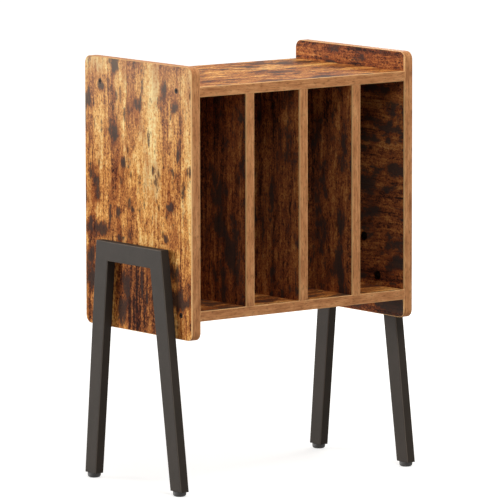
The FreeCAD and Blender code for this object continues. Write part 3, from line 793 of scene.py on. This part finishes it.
def threaded_stud(side, end):
    """A foot's stud with its rolled right-hand thread cut into the mesh, above the flat head in the pad."""
    node = f"{side}_{end}_foot_stud"
    low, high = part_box(node)
    middle = (low + high) / 2
    shank = low.z + stud_head
    thread_start = shank + thread_pitch
    rows = round((high.z - shank) / thread_pitch * thread_steps)
    rings = [(low.z, None), (shank, None)]
    rings += [(shank + (high.z - shank) * row / rows, thread_start) for row in range(rows + 1)]
    points = []
    for height, threaded_from in rings:
        for step in range(stud_sides):
            turn = step / stud_sides
            radius = stud_head_radius
            if threaded_from is not None:
                radius = thread_radius(height, turn, threaded_from, high.z)
            angle = 2 * math.pi * turn
            points.append((middle.x + radius * math.cos(angle), middle.y + radius * math.sin(angle), height))
    faces = [tuple(reversed(range(stud_sides)))]
    for row in range(len(rings) - 1):
        for step in range(stud_sides):
            here = row * stud_sides + step
            beside = row * stud_sides + (step + 1) % stud_sides
            faces.append((here, beside, beside + stud_sides, here + stud_sides))
    last = (len(rings) - 1) * stud_sides
    faces.append(tuple(range(last, last + stud_sides)))
    mesh = bpy.data.meshes.new(f"{side}_{end}_threaded_stud")
    mesh.from_pydata(points, [], faces)
    piece = bpy.data.objects.new(mesh.name, mesh)
    bpy.context.scene.collection.objects.link(piece)
    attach(piece, f"{side}_{end}_stud")
    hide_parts(node)
    return piece


def dress_hardware():
    """Frames, feet and fasteners."""
    coat = powder_coat()
    black = fastener_steel("black_oxide_steel")
    zinc = fastener_steel("zinc_plated_steel")
    plastic = moulded_plastic()
    for side in sides:
        for name in ("front_leg", "rear_leg", "crossbar", "front_end_plate", "rear_end_plate"):
            dress(nodes[f"{side}_{name}"], coat)
        for name in ("frame_bolts", "frame_washers", "shelf_screws"):
            dress(nodes[f"{side}_{name}"], black)
        dress(nodes[f"{side}_rivet_nuts"], zinc)
        for end in ends:
            dress(nodes[f"{side}_{end}_foot_pad"], plastic)
            dress(threaded_stud(side, end), zinc)
    for name in ("foot_weld_nuts", "divider_screws", "back_panel_screws"):
        dress(nodes[name], zinc)
    wood = beech()
    for name in ("shelf_dowels", "divider_dowels"):
        dress(nodes[name], wood)


def seen_directly(tree):
    """One for what the camera, a reflection or a clear body sees, and nought for light on the object."""
    rays = add(tree, "ShaderNodeLightPath")[0].outputs
    mirrored = add(tree, "ShaderNodeMath", {0: rays["Is Glossy Ray"], 1: rays["Is Transmission Ray"]},
                   operation="MAXIMUM")[1]
    return add(tree, "ShaderNodeMath", {0: rays["Is Camera Ray"], 1: mirrored}, operation="MAXIMUM")[1]


def build_floor():
    """A pale floor that reads white around the object and still takes its shadow."""
    mesh = bpy.data.meshes.new("studio_floor")
    corners = [(-floor_half, -floor_half, 0), (floor_half, -floor_half, 0),
               (floor_half, floor_half, 0), (-floor_half, floor_half, 0)]
    mesh.from_pydata(corners, [], [(0, 1, 2, 3)])
    floor = bpy.data.objects.new("studio_floor", mesh)
    bpy.context.scene.collection.objects.link(floor)
    material, tree = new_material("studio_paper")
    here = add(tree, "ShaderNodeTexCoord")[0].outputs["Object"]
    away = add(tree, "ShaderNodeVectorMath", {0: here}, operation="LENGTH")[0].outputs["Value"]
    paper = add(tree, "ShaderNodeMapRange", {"Value": away, "From Min": floor_near, "From Max": floor_far,
                                             "To Min": floor_lift[0], "To Max": floor_lift[1]},
                interpolation_type="SMOOTHSTEP")[1]
    lift = add(tree, "ShaderNodeMath", {0: seen_directly(tree), 1: paper}, operation="MULTIPLY")[1]
    shader = add(tree, "ShaderNodeBsdfPrincipled", {"Base Color": linear(floor_colour),
                                                    "Roughness": floor_roughness, "Specular IOR Level": 0.0,
                                                    "Emission Color": linear(white),
                                                    "Emission Strength": lift})[1]
    finish_surface(tree, shader)
    mesh.materials.append(material)


def build_world():
    """Even studio light, with a white backdrop wherever it is seen."""
    world = bpy.data.worlds.new("studio_world")
    world.use_nodes = True
    tree = world.node_tree
    tree.nodes.clear()
    light = add(tree, "ShaderNodeBackground", {"Color": linear(white), "Strength": ambient_level})[1]
    backdrop = add(tree, "ShaderNodeBackground", {"Color": linear(white), "Strength": 1.0})[1]
    both = add(tree, "ShaderNodeMixShader", {0: seen_directly(tree), 1: light, 2: backdrop})[1]
    add(tree, "ShaderNodeOutputWorld", {"Surface": both})
    bpy.context.scene.world = world


def build_softboxes():
    """Square soft lamps, each aimed at the object."""
    for name, box in softboxes.items():
        lamp = bpy.data.lights.new(name, "AREA")
        lamp.shape = "SQUARE"
        lamp.size = box["size"]
        lamp.energy = box["watts"]
        holder = bpy.data.objects.new(name, lamp)
        holder.location = box["place"]
        towards = Vector(box["aim"]) - Vector(box["place"])
        holder.rotation_euler = towards.to_track_quat("-Z", "Y").to_euler()
        bpy.context.scene.collection.objects.link(holder)


def build_camera():
    """The camera at the photograph's angle, with no shift."""
    camera = bpy.data.cameras.new("photo_camera")
    camera.lens = camera_lens
    camera.sensor_width = camera_sensor
    camera.clip_end = camera_reach
    holder = bpy.data.objects.new("photo_camera", camera)
    holder.location = camera_place
    level = Euler((math.radians(90 + camera_pitch), 0, math.radians(camera_yaw))).to_matrix()
    roll = Euler((0, 0, math.radians(camera_roll))).to_matrix()
    holder.rotation_euler = (level @ roll).to_euler()
    bpy.context.scene.collection.objects.link(holder)
    bpy.context.scene.camera = holder


build_camera()
build_floor()
build_world()
build_softboxes()
dress_boards()
dress_edges()
dress_hardware()

bpy.context.scene.view_settings.view_transform = "Standard"
